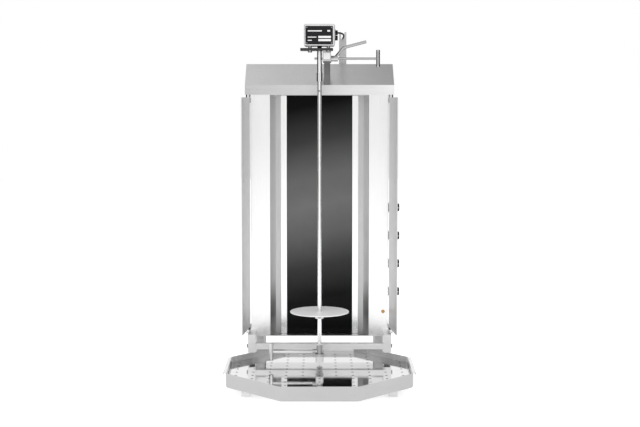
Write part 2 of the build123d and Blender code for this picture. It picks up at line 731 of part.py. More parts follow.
def pan_solid(grow, low, high, radius):
    solid = Pos(0, 0, low) * extrude(tray_outline(grow), high - low)
    return fillet(solid.faces().sort_by(Axis.Z)[0].edges(), radius)


def drip_tray():
    """Deep tray with rounded lower edges and a lip to hold it by along each side."""
    tray = pan_solid(0, TRAY_LOW_Z, TRAY_RIM_Z, 7)
    side = TRAY_CORNERS[1][0]
    front_y, back_y = TRAY_CORNERS[1][1] + 6, TRAY_CORNERS[2][1] - 6
    lip = block(side - 2, side + TRAY_LIP, front_y, back_y, TRAY_RIM_Z - TRAY_SHEET, TRAY_RIM_Z)
    lip = lip + block(
        side + TRAY_LIP - TRAY_SHEET, side + TRAY_LIP, front_y, back_y, TRAY_RIM_Z - 6, TRAY_RIM_Z
    )
    room = pan_solid(-TRAY_SHEET, TRAY_LOW_Z + TRAY_SHEET, TRAY_RIM_Z + 5, 7 - TRAY_SHEET)
    return [tray + lip + on_left(lip) - room]


def inside_tray(x, y, margin):
    """True where a point is inside the tray's outline by at least the margin."""
    count = len(TRAY_CORNERS)
    for n in range(count):
        x0, y0 = TRAY_CORNERS[n]
        x1, y1 = TRAY_CORNERS[(n + 1) % count]
        length = math.hypot(x1 - x0, y1 - y0)
        distance = ((x1 - x0) * (y - y0) - (y1 - y0) * (x - x0)) / length
        if distance < margin:
            return False
    return True


def perforated_plate():
    """Loose strainer plate over the tray's floor, on eight short feet."""
    holes = []
    for column in range(-5, 6):
        for row in range(-8, 6):
            x = column * HOLE_PITCH_X
            y = row * HOLE_PITCH_Y
            if inside_tray(x, y, 14):
                holes.append(Pos(x, y) * Circle(HOLE_RADIUS))
    plate = Pos(0, 0, STRAINER_Z) * extrude(tray_outline(-2.4) - holes, TRAY_SHEET)
    for x in (-210, -70, 70, 210):
        for y in (-150, 20):
            plate = plate + rod_z(5, TRAY_LOW_Z + TRAY_SHEET, STRAINER_Z, x, y)
    return [plate]


# Cable post and lead

def cable_post():
    """Upright channel on the roof with a notch between two prongs for the motor lead."""
    x0, x1 = CABLE_POST_X - CABLE_POST_HALF, CABLE_POST_X + CABLE_POST_HALF
    y0, y1 = CABLE_POST_Y
    post = block(x0, x1, y0, y1, ROOF_Z, CABLE_POST_TOP_Z)
    post = post - block(x0 + 2, x1 - 2, y0 + 2, y1 + 1, ROOF_Z + 2, CABLE_POST_TOP_Z + 1)
    post = post - block(x0 - 1, x1 + 1, y0 + 14, y1 + 1, 1000, CABLE_POST_TOP_Z + 1)
    notch = block(CABLE_POST_X - 5, CABLE_POST_X + 5, y0 - 1, y0 + 3, 1012.5, CABLE_POST_TOP_Z + 1)
    notch = notch + rod_y(5, y0 - 1, y0 + 3, CABLE_POST_X, 1012.5)
    return [post - notch - rod_z(4, ROOF_Z - 1, ROOF_Z + 5, CABLE_POST_X, ROOF_HOLE_Y)]


def bend_radii(points):
    """Bend radius at each inner corner of a route: just under half the shorter run each side."""
    radii = []
    for before, corner, after in zip(points, points[1:], points[2:]):
        first = Vector(*corner) - Vector(*before)
        second = Vector(*after) - Vector(*corner)
        half_turn = math.radians(first.get_angle(second)) / 2
        radii.append(0.45 * min(first.length, second.length) / math.tan(half_turn))
    return radii


def motor_cable():
    """Round lead from the motor's gland, over the post's notch and down to the roof."""
    radii = bend_radii(CABLE_POINTS)
    print("cable bend radii", [round(radius, 1) for radius in radii])
    path = FilletPolyline(*CABLE_POINTS, radius=radii)
    start = Vector(*CABLE_POINTS[0])
    toward = Vector(*CABLE_POINTS[1]) - start
    return [sweep(Plane(origin=start, z_dir=toward) * Circle(CABLE_RADIUS), path=path)]


PIECES = [
    base_frame, frame_feet, end_caps, side_panels, cabinet_decks, reflectors, glass_strips,
    heater_glass, heater_pans, heater_coils, insulation_board, rear_cover, cover_screws, hood,
    leg_brackets, bracket_bolts, lower_arm, wing_pins, heat_regulators, indicator_lamp,
    terminal_block, inlet_gland, arm_post, upper_arm, motor_carriage, motor_plate, plate_bolts,
    motor_housing, motor_label, motor_core, motor_bush, motor_gland, carriage_handle, upper_clamp,
    lower_clamp, drive_tube, coupling_sleeve, spit, spit_pin, meat_disc, disc_screw,
    bearing_carriage, spit_bearing, left_wing, right_wing, left_barrels, right_barrels,
    drip_tray, perforated_plate, cable_post, motor_cable,
]


def save(name, solids):
    """Write one node; a set of equal pieces is kept as separate solids in one file."""
    plain = [solid for shape in solids for solid in shape.solids()]
    shape = plain[0] if len(plain) == 1 else Compound(children=plain)
    shape.label = name
    export_step(shape, f"parts/{name}.step")
    size = shape.bounding_box()
    print(f"{name:18s} {len(plain):3d} solids  {size.min}  {size.max}")


def main():
    os.makedirs("parts", exist_ok=True)
    for piece in PIECES:
        save(piece.__name__, piece())
    for number, z in enumerate(KNOB_Z, start=1):
        save(f"knob_{number}", knob(z))
        save(f"knob_{number}_pointer", knob_pointer(z))


main()
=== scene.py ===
"""Looks, light and camera for the upright rotisserie oven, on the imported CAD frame. Metres."""

import math

import bmesh
import bpy
from mathutils import Matrix, Vector


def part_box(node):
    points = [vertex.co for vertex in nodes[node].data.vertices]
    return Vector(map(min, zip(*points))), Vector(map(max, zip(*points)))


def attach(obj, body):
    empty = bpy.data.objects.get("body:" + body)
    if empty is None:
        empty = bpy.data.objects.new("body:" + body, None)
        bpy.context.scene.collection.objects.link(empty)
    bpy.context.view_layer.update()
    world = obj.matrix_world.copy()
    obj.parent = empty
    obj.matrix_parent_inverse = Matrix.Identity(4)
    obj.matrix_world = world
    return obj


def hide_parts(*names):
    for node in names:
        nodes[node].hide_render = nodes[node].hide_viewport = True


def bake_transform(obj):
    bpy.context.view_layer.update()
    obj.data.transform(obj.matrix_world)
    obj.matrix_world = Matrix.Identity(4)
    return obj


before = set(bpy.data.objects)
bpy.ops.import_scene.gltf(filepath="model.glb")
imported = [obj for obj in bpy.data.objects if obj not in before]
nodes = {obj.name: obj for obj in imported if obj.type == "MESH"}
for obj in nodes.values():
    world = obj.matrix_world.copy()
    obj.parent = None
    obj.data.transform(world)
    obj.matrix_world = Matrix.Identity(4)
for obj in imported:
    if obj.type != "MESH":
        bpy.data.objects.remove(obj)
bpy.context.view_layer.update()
scene = bpy.context.scene

CAMERA_PLACE = (0.0014, -3.494, 0.833)
CAMERA_PITCH = 3.0
CAMERA_LENS = 68.9
CAMERA_SHIFT_Y = -0.0817

LEAD_DIAMETER = 0.005
LEAD_POINTS = [
    (0.0445, 0.012, 1.016), (0.055, 0.012, 1.0156), (0.0645, 0.0185, 1.014), (0.069, 0.033, 1.0115),
    (0.070, 0.060, 1.009), (0.0702, 0.110, 1.006), (0.0704, 0.165, 1.007), (0.0705, 0.210, 1.010),
    (0.0705, 0.240, 1.0125), (0.0705, 0.262, 1.001), (0.0705, 0.2655, 0.968), (0.0705, 0.2645, 0.936),
]

# Places on the frame that the added pieces and the painted shade and painted reflections refer to
SPIT_Y = -0.021
UPPER_ARM_Z = 0.942
LEG_X = 0.1795
LEG_PLACES_Y = (0.1925, 0.2925)
LEG_WELD_Z = 0.0282
LEG_HALF = 0.0125
LOW_ARM_HALF = 0.009
LOW_ARM_WELD_Y = 0.0847
LOW_ARM_TOP_Z = 0.0979
POST_WELD_Y = 0.130
POST_WELD_Z = 0.9338
POST_WELD_HALF = 0.0091
HUB_WELD_X = 0.0330
BOSS_WELD_Z = 0.1003
WELD_STEP = 0.0012

GLAND_X = 0.0485
GLAND_Y = 0.012
GLAND_HEIGHTS = (1.016, 1.001)
RIB_COUNT = 18
RIB_RING = 0.0066

UPPER_GRIP_X = 0.1665
LOWER_GRIP_X = -0.138
LOWER_GRIP_Z = 0.104
GRIP_REACH = 0.0215

KNOB_COUNT = 4
KNOB_SKIRT_END_X = 0.2086
DIAL_X = 0.2041
DIAL_RING = 0.0215
DIAL_DOTS = 7
DIAL_STEP = 45

RIVET_INSET = 0.004
GROMMET_Z = 0.9348

HOOD_HALF_SPAN = 0.22
REFLECTOR_SHADE_Z = (0.12, 0.32)
REFLECTOR_FOLD_X = (0.1300, 0.1310)
TRAY_MIDDLE_Y = -0.06
TRAY_FLOOR_Z = (0.0383, 0.0470)
GLASS_Z = (0.131, 0.835)

# Studio
FLOOR_RADIUS = 9.0
FLOOR_Z = -0.0002
FLOOR_GLOW = 0.38
CARD_X = 1.3
SIDE_CARD_Y = (-0.9, 2.4)
SIDE_CARD_Z = (0.25, 1.6)
BACK_CARD_Y = (0.9, 3.4)
BACK_CARD_Z = 2.2
SOFTBOX_PLACE = (-1.6, -3.2, 2.6)
SOFTBOX_AIM = (0, 0, 0.5)
SOFTBOX_SIZE = (1.6, 1.6)
SOFTBOX_POWER = 22
WORLD_STRENGTH = 1.0


# Camera

def make_camera():
    data = bpy.data.cameras.new("camera")
    data.lens = CAMERA_LENS
    data.sensor_width = 36.0
    data.shift_y = CAMERA_SHIFT_Y
    camera = bpy.data.objects.new("camera", data)
    camera.location = CAMERA_PLACE
    camera.rotation_euler = (math.radians(90.0 - CAMERA_PITCH), 0.0, 0.0)
    scene.collection.objects.link(camera)
    scene.camera = camera


# Mesh helpers

def new_object(name, data, material=None):
    piece = bpy.data.objects.new(name, data)
    scene.collection.objects.link(piece)
    if material:
        data.materials.append(material)
    return piece


def object_from_bmesh(name, shape, material, smooth=False):
    mesh = bpy.data.meshes.new(name)
    shape.to_mesh(mesh)
    shape.free()
    for face in mesh.polygons:
        face.use_smooth = smooth
    return new_object(name, mesh, material)


def bevel(piece, width):
    modifier = piece.modifiers.new("bevel", "BEVEL")
    modifier.width = width
    modifier.segments = 3
    modifier.limit_method = "ANGLE"
    modifier.angle_limit = math.radians(30.0)
    modifier.harden_normals = True
    return piece


def plate(shape, low, high):
    """Adds a box between two corners to a bmesh."""
    middle = (Vector(low) + Vector(high)) / 2
    size = Vector(high) - Vector(low)
    matrix = Matrix.Translation(middle) @ Matrix.Diagonal((*size, 1.0))
    bmesh.ops.create_cube(shape, size=1.0, matrix=matrix)


def disc(shape, radius, depth, middle, turn, segments):
    """Adds a short cylinder, its axis turned from Z by the given matrix, to a bmesh."""
    matrix = Matrix.Translation(middle) @ turn
    bmesh.ops.create_cone(
        shape, cap_ends=True, segments=segments, radius1=radius, radius2=radius, depth=depth, matrix=matrix
    )


ALONG_X = Matrix.Rotation(math.radians(90), 4, "Y")
ALONG_Y = Matrix.Rotation(math.radians(90), 4, "X")
ALONG_Z = Matrix.Identity(4)


# Material helpers

class Shading:
    """A node material under construction, with one principled shader."""

    def __init__(self, name):
        self.material = bpy.data.materials.new(name)
        self.material.use_nodes = True
        self.tree = self.material.node_tree
        self.shader = self.tree.nodes["Principled BSDF"]
        self.coordinates = self.add("ShaderNodeTexCoord").outputs["Object"]

    def add(self, kind, **values):
        node = self.tree.nodes.new(kind)
        for key, value in values.items():
            setattr(node, key, value)
        return node

    def link(self, output, entry):
        self.tree.links.new(output, entry)

    def set(self, **values):
        for key, value in values.items():
            self.shader.inputs[key.replace("_", " ")].default_value = value

    def split(self, vector):
        """The X, Y and Z outputs of a vector."""
        node = self.add("ShaderNodeSeparateXYZ")
        self.link(vector, node.inputs["Vector"])
        return node.outputs

    def normal(self):
        return self.add("ShaderNodeNewGeometry").outputs["Normal"]

    def noise(self, scale, stretch=(1.0, 1.0, 1.0), detail=3.0, offset=(0.0, 0.0, 0.0)):
        mapping = self.add("ShaderNodeMapping")
        mapping.inputs["Scale"].default_value = stretch
        mapping.inputs["Location"].default_value = offset
        self.link(self.coordinates, mapping.inputs["Vector"])
        texture = self.add("ShaderNodeTexNoise")
        texture.inputs["Scale"].default_value = scale
        texture.inputs["Detail"].default_value = detail
        self.link(mapping.outputs["Vector"], texture.inputs["Vector"])
        return texture.outputs["Fac"]

    def ramp(self, factor, stops, smooth=False):
        """Colour ramp over a factor; stops are (position, colour) pairs."""
        node = self.add("ShaderNodeValToRGB")
        if smooth:
            node.color_ramp.interpolation = "B_SPLINE"
        elements = node.color_ramp.elements
        while len(elements) < len(stops):
            elements.new(0.5)
        for element, (position, colour) in zip(elements, stops):
            element.position = position
            element.color = (*colour, 1.0)
        self.link(factor, node.inputs["Fac"])
        return node.outputs["Color"]

    def span(self, factor, low, high, from_low=0.3, from_high=0.7):
        node = self.add("ShaderNodeMapRange")
        node.inputs["From Min"].default_value = from_low
        node.inputs["From Max"].default_value = from_high
        node.inputs["To Min"].default_value = low
        node.inputs["To Max"].default_value = high
        self.link(factor, node.inputs["Value"])
        return node.outputs["Result"]

    def mix(self, factor, first, second, blend="MULTIPLY"):
        node = self.add("ShaderNodeMix", data_type="RGBA", blend_type=blend)
        if isinstance(factor, float):
            node.inputs["Factor"].default_value = factor
        else:
            self.link(factor, node.inputs["Factor"])
        self.link(first, node.inputs[6])
        self.link(second, node.inputs[7])
        return node.outputs[2]

    def colour(self, output):
        self.link(output, self.shader.inputs["Base Color"])

    def roughness(self, output):
        self.link(output, self.shader.inputs["Roughness"])

    def bump(self, height, strength, distance):
        node = self.add("ShaderNodeBump")
        node.inputs["Strength"].default_value = strength
        node.inputs["Distance"].default_value = distance
        self.link(height, node.inputs["Height"])
        self.link(node.outputs["Normal"], self.shader.inputs["Normal"])


def grey(value):
    return (value, value, value)


def steel(name, tone, rough, grain, patchy=0.05, shade=None, metallic=1.0):
    """Stainless steel: fine grain stretched along one axis, with soft cloudy handling marks.

    A shade is a function that builds a further factor on the tone from place and direction.
    """
    shading = Shading(name)
    shading.set(Metallic=metallic)
    lines = shading.noise(1.0, grain, detail=4.0)
    clouds = shading.noise(9.0, detail=3.0, offset=(3.1, 1.7, 0.4))
    fine = shading.ramp(lines, [(0.3, grey(tone * 0.97)), (0.7, grey(min(1.0, tone * 1.02)))])
    wear = shading.ramp(clouds, [(0.3, grey(1.0 - patchy)), (0.7, grey(1.0))])
    wear_and_painted_shade = shading.mix(1.0, fine, wear)
    # A shade multiplies painted shade and painted reflection into the tone
    if shade:
        wear_and_painted_shade = shading.mix(1.0, wear_and_painted_shade, shade(shading))
    shading.colour(wear_and_painted_shade)
    marks = shading.noise(60.0, detail=5.0, offset=(0.3, 5.0, 2.0))
    both = shading.mix(0.5, lines, marks, blend="MIX")
    shading.roughness(shading.span(both, rough * 0.85, rough * 1.2))
    shading.bump(lines, 0.35, 0.00002)
    return shading.material


def hood_painted_reflection(shading):
    """Painted reflection: from left to right the sloped front gets darker and the upright front lighter."""
    across = shading.span(shading.split(shading.coordinates)["X"], 0.0, 1.0, -HOOD_HALF_SPAN, HOOD_HALF_SPAN)
    slope = shading.ramp(across, [(0.0, grey(1.0)), (0.55, grey(0.84)), (1.0, grey(0.60))])
    upright = shading.ramp(across, [(0.0, grey(0.84)), (0.5, grey(1.05)), (1.0, grey(1.36))])
    tilted = shading.span(shading.split(shading.normal())["Z"], 0.0, 1.0, 0.25, 0.55)
    return shading.mix(tilted, upright, slope, blend="MIX")


def reflector_painted_reflection(shading):
    """Painted reflection: the low end of the outer facets is darker, and that of the inner facets a little.
    """
    place = shading.split(shading.coordinates)
    height = shading.span(place["Z"], 0.0, 1.0, *REFLECTOR_SHADE_Z)
    outer = shading.ramp(
        height,
        [
            (0.05, grey(0.62)), (0.16, grey(0.52)), (0.33, grey(0.33)), (0.50, grey(0.40)),
            (0.68, grey(0.80)), (0.85, grey(1.06)),
        ],
    )
    inner = shading.ramp(height, [(0.10, grey(0.55)), (0.35, grey(0.74)), (0.75, grey(0.98))])
    across = shading.add("ShaderNodeMath", operation="ABSOLUTE")
    shading.link(place["X"], across.inputs[0])
    outward = shading.span(across.outputs["Value"], 0.0, 1.0, *REFLECTOR_FOLD_X)
    return shading.mix(outward, inner, outer, blend="MIX")


def panel_painted_shade(shading):
    """Painted shade: the side walls are a little darker than the front panels."""
    forward = shading.span(shading.split(shading.normal())["Y"], 1.0, 0.0, -0.8, -0.3)
    return shading.ramp(forward, [(0.0, grey(0.70)), (1.0, grey(1.0))])


def tray_painted_shade(shading):
    """Painted shade: the outside is darker than the inside, and the floor under the strainer, in painted
    shadow, is darkest.
    """
    normal = shading.normal()
    from_middle = shading.add("ShaderNodeVectorMath", operation="SUBTRACT")
    shading.link(shading.coordinates, from_middle.inputs[0])
    from_middle.inputs[1].default_value = (0.0, TRAY_MIDDLE_Y, 0.0)
    outward = shading.add("ShaderNodeVectorMath", operation="DOT_PRODUCT")
    shading.link(from_middle.outputs["Vector"], outward.inputs[0])
    shading.link(normal, outward.inputs[1])
    outside = shading.span(outward.outputs["Value"], 0.0, 1.0, -0.02, 0.02)
    walls = shading.ramp(outside, [(0.0, grey(1.0)), (1.0, grey(0.50))])
    height = shading.span(shading.split(shading.coordinates)["Z"], 0.0, 1.0, *TRAY_FLOOR_Z)
    floor = shading.ramp(height, [(0.0, grey(0.14)), (1.0, grey(1.0))])
    upward = shading.span(shading.split(normal)["Z"], 0.0, 1.0, 0.2, 0.6)
    return shading.mix(upward, walls, floor, blend="MIX")


def plastic(name, colour, rough, grain_scale=900.0, specular=0.5, shade=None):
    """Moulded plastic with a fine spark-eroded grain and slight tone changes.

    A shade is a function that builds the final colour from the plastic's own.
    """
    shading = Shading(name)
    shading.set(Specular_IOR_Level=specular)
    clouds = shading.noise(25.0, detail=2.0)
    darker = tuple(c * 0.86 for c in colour)
    plain = shading.ramp(clouds, [(0.35, darker), (0.65, colour)])
    shading.colour(shade(shading, plain) if shade else plain)
    grain = shading.noise(grain_scale, detail=2.0)
    shading.roughness(shading.span(grain, rough * 0.85, min(1.0, rough * 1.15)))
    shading.bump(grain, 0.4, 0.00004)
    return shading.material


def skirt_shade(shading, plain):
    """A pale skirt on the knob, where it lies against the cabinet's wall."""
    past_skirt = shading.add("ShaderNodeMath", operation="GREATER_THAN")
    past_skirt.inputs[1].default_value = KNOB_SKIRT_END_X
    shading.link(shading.split(shading.coordinates)["X"], past_skirt.inputs[0])
    choice = shading.add("ShaderNodeMix", data_type="RGBA")
    choice.inputs[6].default_value = (0.62, 0.62, 0.62, 1.0)
    shading.link(plain, choice.inputs[7])
    shading.link(past_skirt.outputs["Value"], choice.inputs["Factor"])
    return choice.outputs[2]


def coated_metal(name, colour, rough):
    """Powder-coated or cast metal with an orange-peel skin."""
    shading = Shading(name)
    shading.set(Metallic=0.35)
    peel = shading.noise(420.0, detail=3.0)
    clouds = shading.noise(18.0, detail=3.0)
    darker = tuple(c * 0.82 for c in colour)
    shading.colour(shading.ramp(clouds, [(0.3, darker), (0.7, colour)]))
    shading.roughness(shading.span(peel, rough * 0.8, rough * 1.2))
    shading.bump(peel, 0.5, 0.00006)
    return shading.material


def black_glass():
    """Black ceramic glass, darkest at its ends, with a painted reflection: a soft grey band that slants
    across its middle.
    """
    shading = Shading("black_glass")
    shading.set(Specular_IOR_Level=0.04, IOR=1.5, Roughness=0.08)
    place = shading.split(shading.coordinates)
    height = shading.span(place["Z"], 0.0, 1.0, *GLASS_Z)
    tilt = shading.add("ShaderNodeMath", operation="MULTIPLY_ADD")
    shading.link(place["X"], tilt.inputs[0])
    tilt.inputs[1].default_value = -0.30
    shading.link(height, tilt.inputs[2])
    # Painted reflection of a softbox, a grey band slanting across the glass's middle
    painted_reflection = shading.ramp(
        tilt.outputs["Value"],
        [
            (0.02, grey(0.007)), (0.14, grey(0.009)), (0.28, grey(0.045)), (0.42, grey(0.125)),
            (0.54, grey(0.165)), (0.66, grey(0.135)), (0.82, grey(0.045)), (0.97, grey(0.004)),
        ],
    )
    clouds = shading.noise(14.0, detail=4.0)
    haze = shading.ramp(clouds, [(0.3, grey(0.92)), (0.7, grey(1.0))])
    shading.colour(shading.mix(1.0, painted_reflection, haze))
    return shading.material


def rubber(name, value):
    shading = Shading(name)
    dust = shading.noise(140.0, detail=4.0)
    shading.colour(shading.ramp(dust, [(0.35, grey(value * 0.75)), (0.7, grey(value * 1.5))]))
    shading.roughness(shading.span(dust, 0.5, 0.72))
    shading.bump(shading.noise(1300.0, detail=2.0), 0.35, 0.00004)
    return shading.material


def ceramic_board():
    shading = Shading("ceramic_board")
    fibres = shading.noise(260.0, (1.0, 0.2, 1.0), detail=6.0)
    shading.colour(shading.ramp(fibres, [(0.3, (0.62, 0.60, 0.55)), (0.7, (0.83, 0.81, 0.76))]))
    shading.set(Roughness=0.95)
    shading.bump(fibres, 0.8, 0.0003)
    return shading.material


def heating_element():
    shading = Shading("heating_element")
    scale = shading.noise(300.0, detail=5.0)
    shading.colour(shading.ramp(scale, [(0.3, (0.05, 0.045, 0.04)), (0.7, (0.17, 0.12, 0.09))]))
    shading.set(Metallic=0.6)
    shading.roughness(shading.span(scale, 0.5, 0.8))
    shading.bump(scale, 0.5, 0.0001)
    return shading.material


def amber_lens():
    shading = Shading("amber_lens")
    shading.set(Roughness=0.16, Coat_Weight=0.5)
    cells = shading.noise(700.0, detail=1.0)
    shading.colour(shading.ramp(cells, [(0.3, (0.50, 0.22, 0.03)), (0.7, (0.72, 0.40, 0.10))]))
    shading.bump(cells, 0.6, 0.0002)
    return shading.material


VERTICAL_GRAIN = (900.0, 900.0, 9.0)
LENGTHWISE_GRAIN = (8.0, 700.0, 700.0)
LATHE_GRAIN = (60.0, 60.0, 1500.0)
TRAY_GRAIN = (10.0, 600.0, 600.0)


def make_materials():
    return {
        "hood": steel("hood_steel", 0.60, 0.30, LENGTHWISE_GRAIN, shade=hood_painted_reflection),
        "panel": steel("panel_steel", 0.82, 0.20, VERTICAL_GRAIN, patchy=0.02, shade=panel_painted_shade),
        "reflector": steel(
            "reflector_steel", 0.88, 0.36, VERTICAL_GRAIN, patchy=0.02, shade=reflector_painted_reflection, metallic=0.75
        ),
        "strip": steel("strip_steel", 0.85, 0.16, VERTICAL_GRAIN, patchy=0.02),
        "wing": steel("wing_steel", 0.56, 0.34, VERTICAL_GRAIN, patchy=0.03),
        "frame": steel("frame_steel", 0.60, 0.30, LENGTHWISE_GRAIN, patchy=0.10),
        "cover": steel("cover_steel", 0.55, 0.34, LENGTHWISE_GRAIN, patchy=0.10),
        "tube": steel("tube_steel", 0.74, 0.16, LATHE_GRAIN, patchy=0.06),
        "handle": steel("handle_steel", 0.42, 0.24, LATHE_GRAIN, patchy=0.06),
        "arm": steel("arm_steel", 0.56, 0.28, (700.0, 12.0, 700.0), patchy=0.10),
        "bar": steel("bar_steel", 0.84, 0.34, LENGTHWISE_GRAIN, patchy=0.06),
        "spit": steel("spit_steel", 0.84, 0.24, LATHE_GRAIN, patchy=0.04),
        "disc": steel("disc_steel", 0.97, 0.46, (260.0, 260.0, 260.0), patchy=0.03, metallic=0.1),
        "tray": steel("tray_steel", 0.92, 0.24, TRAY_GRAIN, metallic=0.8, shade=tray_painted_shade),
        "strainer": steel("strainer_steel", 0.84, 0.06, TRAY_GRAIN, patchy=0.05),
        "zinc": steel("zinc_steel", 0.36, 0.26, (500.0, 500.0, 500.0), patchy=0.12),
        "dark": coated_metal("dark_coating", grey(0.030), 0.50),
        "post": coated_metal("post_coating", grey(0.17), 0.42),
        "cast": coated_metal("cast_alloy", grey(0.66), 0.40),
        "glass": black_glass(),
        "knob": plastic("knob_plastic", grey(0.010), 0.38, specular=0.2, shade=skirt_shade),
        "black": plastic("black_plastic", grey(0.010), 0.38, specular=0.2),
        "white": plastic("white_plastic", grey(0.80), 0.42),
        "pale": plastic("pale_plastic", grey(0.52), 0.45),
        "label": plastic("label_plate", (0.014, 0.014, 0.016), 0.45, grain_scale=1600.0, specular=0.12),
        "print": plastic("label_print", grey(0.78), 0.42, grain_scale=1600.0),
        "amber": amber_lens(),
        "rubber": rubber("black_rubber", 0.022),
        "board": ceramic_board(),
        "element": heating_element(),
        "bronze": steel("bearing_bronze", 0.50, 0.30, LATHE_GRAIN),
    }


NODE_LOOKS = {
    "frame": ["base_frame", "heater_pans", "cabinet_decks"],
    "bar": ["leg_brackets", "lower_arm", "lower_clamp"],
    "rubber": ["frame_feet"],
    "white": ["end_caps", "heat_regulators", "terminal_block"],
    "panel": ["side_panels"],
    "reflector": ["reflectors"],
    "strip": ["glass_strips"],
    "glass": ["heater_glass"],
    "element": ["heater_coils"],
    "board": ["insulation_board"],
    "cover": ["rear_cover", "cable_post"],
    "zinc": ["cover_screws", "bracket_bolts", "plate_bolts", "disc_screw"],
    "hood": ["hood"],
    "arm": ["upper_arm", "motor_carriage", "bearing_carriage"],
    "tube": ["wing_pins", "coupling_sleeve"],
    "handle": ["carriage_handle", "upper_clamp"],
    "amber": ["indicator_lamp"],
    "black": ["inlet_gland", "motor_bush", "motor_gland", "left_barrels", "right_barrels"],
    "dark": ["motor_plate", "motor_core", "spit_pin"],
    "post": ["arm_post"],
    "cast": ["motor_housing"],
    "label": ["motor_label"],
    "spit": ["drive_tube", "spit"],
    "disc": ["meat_disc"],
    "bronze": ["spit_bearing"],
    "wing": ["left_wing", "right_wing"],
    "tray": ["drip_tray"],
    "strainer": ["perforated_plate"],
    "knob": ["knob_1", "knob_2", "knob_3", "knob_4"],
    "pale": ["knob_1_pointer", "knob_2_pointer", "knob_3_pointer", "knob_4_pointer"],
}


def dress_nodes(materials):
    for look, names in NODE_LOOKS.items():
        for name in names:
            for material_slot in nodes[name].material_slots:
                material_slot.material = materials[look]


# Added pieces

def label_print(materials):
    """Generic marks on the rating plate: two blank fields and plain bars, with corner rivets."""
    low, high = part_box("motor_label")
    face_y = low[1]
    left, right = low[0], high[0]
    bottom, top = low[2], high[2]
    width, height = right - left, top - bottom
    marks = bmesh.new()
    # Each field's left, low, right and high edge, as shares of the plate's width and height
    fields = [
        (0.47, 0.347, 0.93, 0.460), (0.47, 0.176, 0.93, 0.290),
        (0.085, 0.372, 0.40, 0.418), (0.085, 0.200, 0.23, 0.245),
        (0.085, 0.700, 0.60, 0.760), (0.80, 0.690, 0.90, 0.775),
    ]
    for x0, z0, x1, z1 in fields:
        plate(
            marks, (left + width * x0, face_y - 0.0002, bottom + height * z0),
            (left + width * x1, face_y + 0.0001, bottom + height * z1),
        )
    printed = object_from_bmesh("label_marks", marks, materials["print"])
    rivets = bmesh.new()
    for x in (left + RIVET_INSET, right - RIVET_INSET):
        for z in (bottom + RIVET_INSET, top - RIVET_INSET):
            disc(rivets, 0.0016, 0.0012, (x, face_y - 0.0002, z), ALONG_Y, 20)
    riveted = bevel(object_from_bmesh("label_rivets", rivets, materials["zinc"], smooth=True), 0.0004)
    for piece in (printed, riveted):
        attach(piece, "motor_carriage")


def knob_dials(materials):
    """Raised dots round each knob, which grow from the off position at the front."""
    dots = bmesh.new()
    for number in range(1, KNOB_COUNT + 1):
        low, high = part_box(f"knob_{number}")
        middle_y = (low[1] + high[1]) / 2
        middle_z = (low[2] + high[2]) / 2
        for step in range(DIAL_DOTS):
            angle = math.radians(180 - DIAL_STEP * step)
            y = middle_y + DIAL_RING * math.cos(angle)
            z = middle_z + DIAL_RING * math.sin(angle)
            disc(dots, 0.0009 + 0.0001 * step, 0.0003, (DIAL_X, y, z), ALONG_X, 20)
    piece = object_from_bmesh("knob_dials", dots, materials["black"])
    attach(piece, "frame")


def bead(name, points, radius, material, body, closed=False):
    """Weld bead: a thin rippled curve laid along a joint."""
    curve = bpy.data.curves.new(name, "CURVE")
    curve.dimensions = "3D"
    curve.bevel_depth = radius
    curve.bevel_resolution = 2
    spline = curve.splines.new("POLY")
    steps = []
    corners = list(points) + ([points[0]] if closed else [])
    for start, end in zip(corners, corners[1:]):
        start, end = Vector(start), Vector(end)
        count = max(2, round((end - start).length / WELD_STEP))
        steps += [start.lerp(end, n / count) for n in range(count)]
    if not closed:
        steps.append(Vector(corners[-1]))
    spline.points.add(len(steps) - 1)
    for n, (point, place) in enumerate(zip(spline.points, steps)):
        point.co = (*place, 1.0)
        point.radius = 0.82 + 0.18 * math.cos(n * 2.1)
    spline.use_cyclic_u = closed
    piece = new_object(name, curve, material)
    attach(piece, body)


def square_ring(x, y, z, half):
    """Corners of a level square round an upright tube."""
    corners = [(-half, -half), (half, -half), (half, half), (-half, half)]
    return [(x + a, y + b, z) for a, b in corners]


def ring_points(x, y, z, radius, axis):
    """Points of a circle round the X or Z axis."""
    count = 28
    angles = [2 * math.pi * n / count for n in range(count)]
    if axis == "x":
        return [(x, y + radius * math.cos(a), z + radius * math.sin(a)) for a in angles]
    return [(x + radius * math.cos(a), y + radius * math.sin(a), z) for a in angles]


def weld_beads(materials):
    weld = materials["zinc"]
    for side, word in ((-1, "left"), (1, "right")):
        for leg, y in enumerate(LEG_PLACES_Y, start=1):
            corners = square_ring(side * LEG_X, y, LEG_WELD_Z, LEG_HALF)
            bead(f"leg_weld_{word}_{leg}", corners, 0.0012, weld, "frame", closed=True)
    seam = [(x, LOW_ARM_WELD_Y, LOW_ARM_TOP_Z) for x in (-LOW_ARM_HALF, LOW_ARM_HALF)]
    bead("low_arm_weld", seam, 0.0012, weld, "frame")
    post_low, post_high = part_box("arm_post")
    post_x = (post_low[0] + post_high[0]) / 2
    foot = square_ring(post_x, POST_WELD_Y, POST_WELD_Z, POST_WELD_HALF)
    bead("post_plate_weld", foot, 0.0011, weld, "frame", closed=True)
    hub = ring_points(HUB_WELD_X, 0.0, UPPER_ARM_Z, 0.0080, "x")
    bead("hub_weld", hub, 0.0009, weld, "motor_carriage", closed=True)
    boss = ring_points(0.0, SPIT_Y, BOSS_WELD_Z, 0.0087, "z")
    bead("boss_weld", boss, 0.0008, weld, "bearing_carriage", closed=True)


